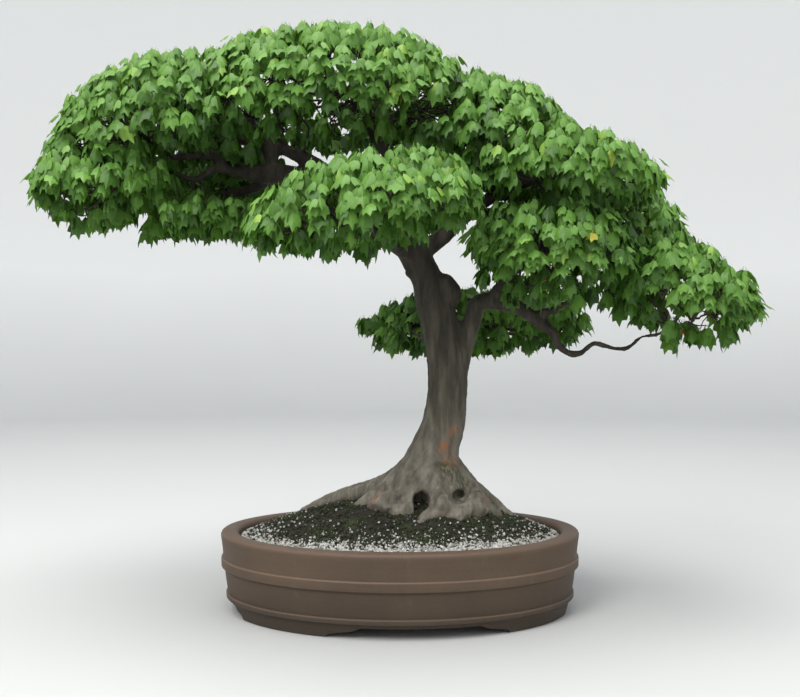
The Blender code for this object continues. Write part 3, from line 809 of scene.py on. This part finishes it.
def cluster_leaves(place, normal, sky, rng):
    """Each leaf's kind, rotation, size, place and tint, for one cluster."""
    outward = Vector((normal.x, normal.y, 0))
    turn = rng.uniform(0, pi)
    under = normal.z < -0.3
    made = []
    for pair in range(PAIRS):
        age = 1.0 - pair / PAIRS
        for half in (0, 1):
            angle = turn + pair * pi / 2 + half * pi + rng.normal(0, 0.25)
            away = Vector((cos(angle), sin(angle), 0))
            tip = away * 0.58 + outward * 0.42 - UP * rng.uniform(0.35, 1.45) * (1.3 if under else 1.0)
            face = UP * 0.7 + normal * (0.2 if under else 0.85) + away * 0.3
            face = face + Vector(rng.normal(0, 0.15, 3))
            size = LEAF_LENGTH * (0.62 + 0.38 * age) * rng.uniform(0.82, 1.12)
            foot = place + away * (1.5 * MM) + (UP * 0.6 + normal * 0.4) * (pair * 3.0 * MM)
            kind = rng.integers(len(leaf_kinds))
            made.append((kind, leaf_frame(tip, face), size, foot, leaf_tint(foot, sky, age, rng)))
    return made


def store_tints(mesh, tints):
    values = np.array(tints, np.float32)
    mesh.attributes.new("tint", "FLOAT", "POINT").data.foreach_set("value", values)


def pad_of_leaves(name, rng):
    """Joins every leaf of a pad in one mesh, with its tint stored on its points."""
    joined = bmesh.new()
    tints = []
    for place, normal, sky in clusters[name]:
        for kind, turn, size, foot, tint in cluster_leaves(place, normal, sky, rng):
            shape = leaf_shapes[kind] @ (np.array(turn).T * size) + np.array(foot)
            set_vertices(leaf_kinds[kind], shape)
            joined.from_mesh(leaf_kinds[kind])
            tints += [tint] * len(shape)
    mesh = mesh_from(joined, name)
    store_tints(mesh, tints)
    return mesh


# %% [markdown]
# A leaf is thin, so light that falls on one side also glows through the other: the finish mixes a glossy
# green surface with a translucent one. Tints vary from leaf to leaf and carry painted shade on leaves that
# the cushions hide from the sky, ribs are paler than the blade, and a very few leaves have turned yellow or
# orange.


# %% Leaf finish
def leaf_finish():
    leaf = Finish("maple_leaf")
    tint = leaf.attribute("tint")
    cloud = leaf.noise(14.0, detail=3)
    mottle = leaf.noise(320.0, detail=4)
    shade = leaf.math("ADD", tint, leaf.math("MULTIPLY", leaf.math("SUBTRACT", cloud, 0.5), 0.16))
    colour = leaf.ramp(shade, [
        (0.08, (0.013, 0.044, 0.006)), (0.32, (0.052, 0.135, 0.018)), (0.52, (0.110, 0.255, 0.036)),
        (0.74, (0.168, 0.345, 0.064)), (0.86, (0.300, 0.480, 0.080)), (0.93, (0.44, 0.46, 0.07)),
        (0.99, (0.52, 0.17, 0.05)),
    ])
    mottled = leaf.ramp(mottle, [(0.35, (0.32, 0.40, 0.25)), (0.65, (0.66, 0.62, 0.55))])
    colour = leaf.mix(0.3, colour, mottled, "OVERLAY")
    ribs = leaf.node("ShaderNodeUVMap", uv_map="UVMap")
    across = leaf.node("ShaderNodeSeparateXYZ")
    leaf.join(ribs.outputs[0], across.inputs[0])
    off_middle = leaf.math("ABSOLUTE", leaf.math("SUBTRACT", across.outputs["X"], 0.5))
    off_side = leaf.math("ABSOLUTE", leaf.math("SUBTRACT", off_middle, 1 / 3))
    midrib = leaf.ramp(off_middle, [(0.0, 0.75), (0.055, 0.0)])
    side_ribs = leaf.ramp(off_side, [(0.0, 0.4), (0.04, 0.0)])
    veins = leaf.math("MAXIMUM", midrib, side_ribs)
    colour = leaf.mix(veins, colour, leaf.mix(0.6, colour, (0.36, 0.50, 0.20)))
    leaf.shader.inputs["Specular IOR Level"].default_value = 0.42
    normal = leaf.bump(veins, 0.5, 0.0004)
    normal = leaf.bump(mottle, 0.25, 0.0005, below=normal)
    leaf.wear(colour, leaf.ramp(mottle, [(0.3, 0.40), (0.7, 0.56)]), normal)
    glow = leaf.node("ShaderNodeBsdfTranslucent")
    leaf.join(leaf.mix(1.0, colour, (1.0, 0.95, 0.45), "MULTIPLY"), glow.inputs["Color"])
    both = leaf.node("ShaderNodeMixShader")
    both.inputs[0].default_value = 0.24
    leaf.join(leaf.shader.outputs[0], both.inputs[1])
    leaf.join(glow.outputs[0], both.inputs[2])
    leaf.join(both.outputs[0], leaf.tree.nodes["Material Output"].inputs["Surface"])
    return leaf.material


leaf_material = leaf_finish()
for name in pads:
    foliage = pad_of_leaves(name, rng)
    finish_piece(name.replace("leaves_", "foliage_"), foliage, leaf_material, [name])

# %% [markdown]
# ## Ground
# The mound is highest by the trunk. Moss covers most of it and pale grit lies between the moss and
# the pot's wall, widest at the front. The same height rule places every grain and tuft.

# %% Height of the ground
grit_low, grit_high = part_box("grit")
moss_low, moss_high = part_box("moss")
RIM_LEVEL = grit_low.z + 5 * MM
MOUND_RISE = 50 * MM
COLLAR_X, COLLAR_Y = 0.085, -0.03
COLLAR_RISE = 9 * MM
COLLAR_REACH = 70 * MM
MOSS_SHIFT = 13 * MM
MOSS_SPREAD = 1.07
MOSS_MIDDLE = (moss_low + moss_high) / 2 + Vector((MOSS_SHIFT, 0, 0))
MOSS_REACH = (moss_high - moss_low) / 2


def ground(x, y):
    out = min(1.0, (x / grit_high.x) ** 2 + (y / grit_high.y) ** 2)
    from_collar = (x - COLLAR_X) ** 2 + (y - COLLAR_Y) ** 2
    collar = np.exp(-from_collar / COLLAR_REACH**2)
    return RIM_LEVEL + MOUND_RISE * (1.0 - out) + COLLAR_RISE * float(collar)


def moss_edge(x, y):
    """Below 0 in the moss and above 0 in the grit, with a ragged border."""
    across = Vector(((x - MOSS_MIDDLE.x) / MOSS_REACH.x, (y - MOSS_MIDDLE.y) / MOSS_REACH.y))
    ragged = 0.05 * noise.noise(Vector((x * 22, y * 22, 3.0)))
    ragged += 0.04 * noise.noise(Vector((x * 70, y * 70, 1.0)))
    return across.length - MOSS_SPREAD + ragged


def wall_reach(x, y):
    """1 at the inside of the pot's wall."""
    return ((x / (grit_high.x + 1 * MM)) ** 2 + (y / (grit_high.y + 1 * MM)) ** 2) ** 0.5


# %% [markdown]
# The beds under the moss and grit are grids cut to an oval and given a thin wall below. Lumps come
# from layered noise.


# %% Beds
def bed(name, inside, lift, lump, cell):
    """A lumpy sheet over the part of the ground where inside(x, y) is true."""
    columns = int(2 * grit_high.x / cell)
    rows = int(2 * grit_high.y / cell)
    bm = bmesh.new()
    bmesh.ops.create_grid(bm, x_segments=columns, y_segments=rows, size=1.0)
    bmesh.ops.scale(bm, verts=bm.verts, vec=(grit_high.x, grit_high.y, 1))
    outside = [v for v in bm.verts if not inside(v.co.x, v.co.y)]
    bmesh.ops.delete(bm, geom=outside, context="VERTS")
    for vertex in bm.verts:
        x, y, _ = vertex.co
        bumps = noise.fractal(Vector((x * 120, y * 120, 5.0)), 0.8, 2.0, 4)
        swell = noise.noise(Vector((x * 30, y * 30, 9.0)))
        vertex.co.z = ground(x, y) + lift + lump * (0.55 * bumps + 0.8 * swell)
    bmesh.ops.recalc_face_normals(bm, faces=bm.faces)
    return evaluated(mesh_from(bm, name), ("SOLIDIFY", {"thickness": 3 * MM, "offset": -1.0}))


def under_moss(x, y):
    return moss_edge(x, y) < 0.03 and wall_reach(x, y) < 0.985


def under_grit(x, y):
    return moss_edge(x, y) > -0.06 and wall_reach(x, y) < 0.995


moss_bed = bed("moss_bed", under_moss, lift=-0.5 * MM, lump=2.2 * MM, cell=2.6 * MM)
grit_shade_bed = bed("grit_shade_bed", under_grit, lift=-2.6 * MM, lump=0.8 * MM, cell=4 * MM)


def moss_finish():
    moss = Finish("dark_moss")
    pile = moss.noise(420.0, detail=6, roughness=0.7)
    patches = moss.noise(38.0, detail=5, roughness=0.6)
    colour = moss.ramp(pile, [
        (0.32, (0.006, 0.008, 0.003)), (0.5, (0.018, 0.024, 0.007)), (0.7, (0.046, 0.058, 0.016)),
    ])
    bare = moss.ramp(pile, [(0.3, (0.012, 0.010, 0.007)), (0.7, (0.052, 0.042, 0.028))])
    colour = moss.mix(moss.ramp(patches, [(0.42, 0.0), (0.62, 0.85)]), colour, bare)
    fresh = moss.ramp(moss.noise(24.0, detail=4), [(0.56, 0.0), (0.7, 0.6)])
    colour = moss.mix(fresh, colour, (0.060, 0.105, 0.022))
    specks = moss.ramp(moss.cells(300.0), [(0.10, 1.0), (0.17, 0.0)])
    scatter = moss.ramp(moss.noise(70.0, detail=3), [(0.52, 0.0), (0.66, 1.0)])
    colour = moss.mix(moss.math("MULTIPLY", specks, scatter), colour, (0.46, 0.45, 0.40))
    rough = moss.ramp(pile, [(0.3, 0.95), (0.7, 0.8)])
    return moss.wear(colour, rough, moss.bump(pile, 0.9, 0.0022))


def grit_finish():
    grit = Finish("pale_grit")
    tint = grit.attribute("tint")
    pores = grit.noise(800.0, detail=4)
    # the darkest stop is the painted shade of the bed between the grains
    colour = grit.ramp(tint, [
        (0.06, (0.030, 0.026, 0.020)), (0.2, (0.17, 0.15, 0.125)), (0.42, (0.40, 0.385, 0.35)),
        (0.85, (0.66, 0.655, 0.63)),
    ])
    colour = grit.mix(0.5, colour, grit.ramp(pores, [(0.3, 0.22), (0.6, 0.62)]), "OVERLAY")
    return grit.wear(colour, grit.ramp(pores, [(0.3, 0.95), (0.7, 0.8)]), grit.bump(pores, 0.6, 0.0006))


moss_material, grit_material = moss_finish(), grit_finish()
finish_piece("moss_bed", moss_bed, moss_material, ["moss"])


# %% [markdown]
# Grains and tufts are a small ball, squashed and dented, repeated thousands of times. Each copy gets
# its own turn and size and a tint of its own.


# %% Scatter helper
def pebble(name, seed, dent, flat):
    """A dented ball of 20 faces, about 1 across its radius."""
    bm = bmesh.new()
    bmesh.ops.create_icosphere(bm, subdivisions=1, radius=1.0)
    for vertex in bm.verts:
        vertex.co *= 1.0 + dent * noise.noise(vertex.co * 1.7 + Vector((seed * 3.1, 0, 0)))
        vertex.co.z *= flat
    return mesh_from(bm, name)


def scatter(name, kinds, spots):
    """Joins copies of the kinds. Each spot is a place, a size, a turn about a way and a tint."""
    shapes = [vertex_array(kind) for kind in kinds]
    joined = bmesh.new()
    tints = []
    for index, (place, size, turn, tint) in enumerate(spots):
        kind = index % len(kinds)
        shape = shapes[kind] @ (np.array(turn).T * size) + np.array(place)
        set_vertices(kinds[kind], shape)
        joined.from_mesh(kinds[kind])
        tints += [tint] * len(shape)
    mesh = mesh_from(joined, name)
    store_tints(mesh, tints)
    return mesh


def any_turn(rng, most=pi):
    axis = Vector(rng.normal(0, 1, 3)).normalized()
    return Matrix.Rotation(rng.uniform(-most, most), 3, axis)


# %% Grit
GRAINS = 4000


def grain_spots(rng):
    spots = []
    while len(spots) < GRAINS:
        x, y = rng.uniform(-1, 1) * grit_high.x, rng.uniform(-1, 1) * grit_high.y
        size = rng.uniform(1.2, 2.6) * MM
        if wall_reach(x, y) > 0.995 - size / grit_high.y or moss_edge(x, y) < rng.normal(0.0, 0.035):
            continue
        z = ground(x, y) + rng.uniform(-2.0, 1.2) * MM
        spots.append(((x, y, z), size, any_turn(rng), float(rng.beta(2.2, 1.5))))
    return spots


grains = [pebble(f"grain_{i}", i, 0.55, 0.8) for i in range(5)]
grit_mesh = scatter("grit_grains", grains, grain_spots(rng))
finish_piece("grit_grains", grit_mesh, grit_material, ["grit"], smooth=False)
# the bed is painted near black, as the shade between the grains
BED_SHADE_TINT = 0.03
store_tints(grit_shade_bed, [BED_SHADE_TINT] * len(grit_shade_bed.vertices))
finish_piece("grit_shade_bed", grit_shade_bed, grit_material)

# %% Moss tufts and stray grains
TUFTS = 3600
STRAYS = 2300


def tuft_spots(rng):
    spots = []
    while len(spots) < TUFTS:
        x, y = rng.uniform(-1, 1) * grit_high.x, rng.uniform(-1, 1) * grit_high.y
        if wall_reach(x, y) > 0.97 or moss_edge(x, y) > rng.normal(-0.02, 0.03):
            continue
        size = rng.uniform(1.6, 3.8) * MM
        z = ground(x, y) + rng.uniform(-0.6, 0.5) * MM
        spots.append(((x, y, z), size, any_turn(rng, 0.5), float(rng.random())))
    return spots


def stray_spots(rng):
    spots = []
    while len(spots) < STRAYS:
        x, y = rng.uniform(-1, 1) * grit_high.x, rng.uniform(-1, 1) * grit_high.y
        edge = moss_edge(x, y)
        if edge > 0.02 or rng.random() > 0.03 + 0.97 * np.exp(edge * 9.0):
            continue
        z = ground(x, y) + rng.uniform(0.8, 2.2) * MM
        size = (0.5 + 1.6 * rng.random() ** 2) * MM
        spots.append(((x, y, z), size, any_turn(rng), float(rng.beta(1.7, 1.4))))
    return spots


tufts = [pebble(f"tuft_{i}", i + 9, 0.5, 0.75) for i in range(4)]
tuft_mesh = scatter("moss_tufts", tufts, tuft_spots(rng))
finish_piece("moss_tufts", tuft_mesh, moss_material)
strays = [pebble(f"stray_{i}", i + 20, 0.55, 0.8) for i in range(3)]
stray_mesh = scatter("stray_grains", strays, stray_spots(rng))
finish_piece("stray_grains", stray_mesh, grit_material, smooth=False)

# %% [markdown]
# ## Studio
# A round backdrop, spun from one curved line, gives a pale floor and wall from every side. The sky
# above it is the main soft light, as on an overcast day, with two large lamps to open up the shadows.

# %% Backdrop
STUDIO_RADIUS = 5.0
STUDIO_HEIGHT = 3.6
FILLET = 1.4


def backdrop():
    bm = bmesh.new()
    line = [(0.0, 0.0), (STUDIO_RADIUS - FILLET, 0.0)]
    line += [
        (STUDIO_RADIUS - FILLET + FILLET * sin(a), FILLET - FILLET * cos(a))
        for a in np.linspace(0, pi / 2, 13)[1:]
    ]
    line += [(STUDIO_RADIUS, STUDIO_HEIGHT)]
    verts = [bm.verts.new((x, 0, z)) for x, z in line]
    edges = [bm.edges.new(pair) for pair in zip(verts, verts[1:])]
    bmesh.ops.spin(
        bm, geom=verts + edges, cent=(0, 0, 0), axis=(0, 0, 1), angle=2 * pi, steps=96, use_merge=True
    )
    bmesh.ops.remove_doubles(bm, verts=bm.verts, dist=0.0001)
    bmesh.ops.recalc_face_normals(bm, faces=bm.faces)
    mesh = mesh_from(bm, "studio_floor")
    mesh.shade_smooth()
    paint = Finish("studio_paint")
    up = paint.math("MULTIPLY", paint.height(), 0.6)
    cloud = paint.math("ADD", up, paint.math("MULTIPLY", paint.noise(1.2, detail=3), 0.1))
    colour = paint.ramp(cloud, [(0.05, (0.56, 0.565, 0.56)), (0.5, (0.80, 0.805, 0.80))])
    mesh.materials.append(paint.wear(colour, paint.ramp(cloud, [(0.3, 0.8), (0.7, 0.9)])))
    floor = linked("studio_floor", mesh)


backdrop()


def lamp(name, place, size, power, colour, aim=(0, 0, 0.4)):
    data = bpy.data.lights.new(name, "AREA")
    data.shape = "DISK"
    data.size = size
    data.energy = power
    data.color = colour
    made = linked(name, data)
    made.location = place
    made.rotation_euler = (Vector(aim) - Vector(place)).to_track_quat("-Z", "Y").to_euler()


lamp("overhead", (-0.3, -0.5, 3.4), 3.0, 98, (1.0, 0.99, 0.97))
lamp("key", (-1.6, -2.6, 2.9), 1.8, 72, (1.0, 0.98, 0.95))
lamp("fill", (2.6, -2.4, 1.4), 2.4, 8, (0.95, 0.98, 1.0))

world = bpy.data.worlds.new("overcast")
bpy.context.scene.world = world
world.use_nodes = True
world.node_tree.nodes["Background"].inputs["Color"].default_value = (0.93, 0.97, 1.0, 1.0)
world.node_tree.nodes["Background"].inputs["Strength"].default_value = 0.80
bpy.context.scene.view_settings.view_transform = "Standard"

# %% [markdown]
# ## Camera
# The eye stands level with the low branches, three pot lengths away, and looks down by less than a
# degree. The lens is a short telephoto, so the pot's oval shows as a thin ellipse.

# %% Camera
EYE = Vector((0.0, -3 * (pot_high.x - pot_low.x), 0.381))
DIP = 0.72
camera_data = bpy.data.cameras.new("camera")
camera_data.lens = 48.15
camera_data.sensor_width = 36.0
camera = linked("camera", camera_data)
camera.location = EYE
camera.rotation_euler = (radians(90 - DIP), 0, 0)
bpy.context.scene.camera = camera
